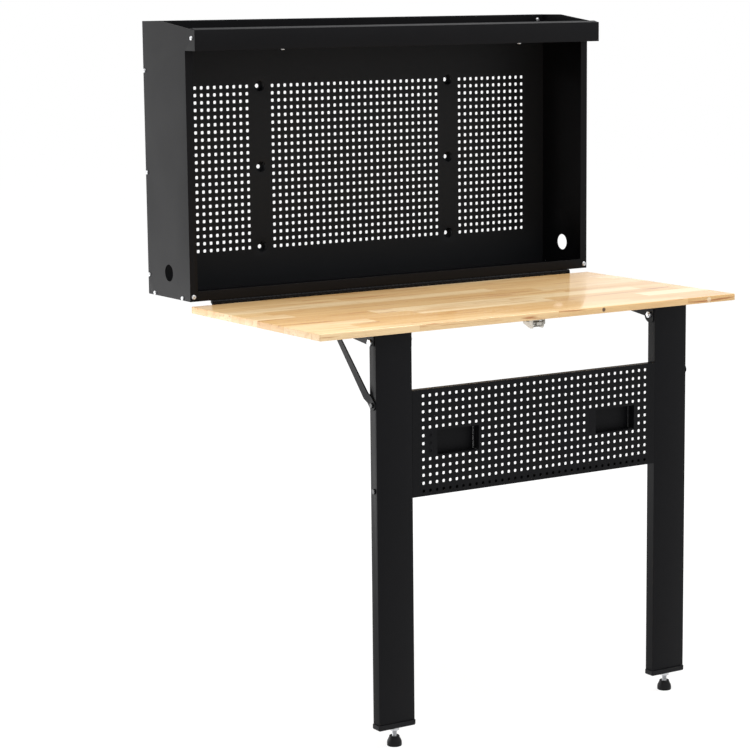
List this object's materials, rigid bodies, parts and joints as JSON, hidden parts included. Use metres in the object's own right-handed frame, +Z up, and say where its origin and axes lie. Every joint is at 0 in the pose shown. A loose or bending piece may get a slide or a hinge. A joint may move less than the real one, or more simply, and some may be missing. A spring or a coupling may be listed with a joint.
{
  "type": "wall mounted folding workbench",
  "caption": "Black sheet-steel tool cabinet for a wall, with a perforated back and a wooden front that folds down on a continuous hinge into a bench with folding legs.",
  "frame": {"origin": "centre of the six wall bolts, on the wall", "axes": "+X along the wall, -Y towards the user, +Z up"},
  "size_m": [1.046, 0.7085, 1.44],
  "materials": {
    "powder_black": "semi-matt powder coat",
    "zinc": "bright zinc plating",
    "black_bolt": "black oxide",
    "board": "clear satin lacquer",
    "black_plastic": "fine moulded grain"
  },
  "bodies": {
    "cabinet": {"back_panel": "powder_black", "side_panel_left": "powder_black", "side_panel_right": "powder_black", "bottom_panel": "powder_black", "tray_floor": "powder_black", "front_lip": "powder_black", "side_rear_screws": "zinc", "side_bottom_screws": "zinc", "flange_corner_screws": "zinc", "lip_side_screws": "zinc", "lip_floor_screws": "zinc", "tray_rear_screws": "zinc", "hinge_leaf_cabinet": "powder_black", "hinge_pin": "powder_black"},
    "bench": {"bench_top": "board", "hinge_leaf_table": "powder_black", "hinge_table_screws": "zinc", "leg_bracket_left": "powder_black", "leg_bracket_right": "powder_black", "leg_bracket_screws": "zinc", "brace_anchor_left": "powder_black", "brace_anchor_right": "powder_black", "brace_anchor_screws": "zinc", "latch_base": "zinc", "latch_base_screws": "zinc", "latch_pin": "zinc"},
    "lever": {"latch_lever": "zinc", "latch_grip": "black_plastic", "latch_hook_pin": "zinc"},
    "hook": {"latch_hook": "zinc"},
    "leg_frame": {"leg_left": "powder_black", "leg_right": "powder_black", "leg_cap_left": "black_plastic", "leg_cap_right": "black_plastic", "apron_panel": "powder_black", "apron_pocket_left": "powder_black", "apron_pocket_right": "powder_black", "pivot_bolts": "zinc", "pivot_nuts": "zinc", "brace_bolts": "black_bolt", "apron_bolts": "black_bolt", "side_bolt_nuts": "zinc", "lock_nuts": "zinc"},
    "left_brace": {"brace_left": "powder_black"},
    "right_brace": {"brace_right": "powder_black"},
    "left_foot": {"foot_stem_left": "zinc", "foot_pad_left": "black_plastic"},
    "right_foot": {"foot_stem_right": "zinc", "foot_pad_right": "black_plastic"}
  },
  "joints": [
    {"name": "top_fold", "type": "hinge", "parent": "cabinet", "child": "bench", "pos_m": [0, -0.187, -0.2648], "axis": [-1, 0, 0], "range_deg": [0, 90]},
    {"name": "leg_fold", "type": "hinge", "parent": "bench", "child": "leg_frame", "pos_m": [0, -0.686, -0.3], "axis": [1, 0, 0], "range_deg": [0, 90]},
    {"name": "left_brace_swing", "type": "hinge", "parent": "leg_frame", "child": "left_brace", "pos_m": [0, -0.691, -0.423], "axis": [-1, 0, 0], "range_deg": [0, 136]},
    {"name": "right_brace_swing", "type": "hinge", "parent": "leg_frame", "child": "right_brace", "pos_m": [0, -0.691, -0.423], "axis": [-1, 0, 0], "range_deg": [0, 136]},
    {"name": "latch_open", "type": "hinge", "parent": "bench", "child": "lever", "pos_m": [0, -0.703, -0.291], "axis": [-1, 0, 0], "range_deg": [0, 75]},
    {"name": "hook_level", "type": "hinge", "parent": "lever", "child": "hook", "pos_m": [0, -0.6965, -0.29475], "axis": [1, 0, 0], "range_deg": [0, 75]},
    {"name": "left_foot_screw", "type": "slide", "parent": "leg_frame", "child": "left_foot", "axis": [0, 0, 1], "range_m": [-0.012, 0.008]},
    {"name": "right_foot_screw", "type": "slide", "parent": "leg_frame", "child": "right_foot", "axis": [0, 0, 1], "range_m": [-0.012, 0.008]}
  ],
  "couplings": [
    {"joint": "leg_fold", "follows": "top_fold", "ratio": 1},
    {"joint": "left_brace_swing", "follows": "top_fold", "ratio": 1.5111},
    {"joint": "right_brace_swing", "follows": "top_fold", "ratio": 1.5111},
    {"joint": "hook_level", "follows": "latch_open", "ratio": 1}
  ]
}
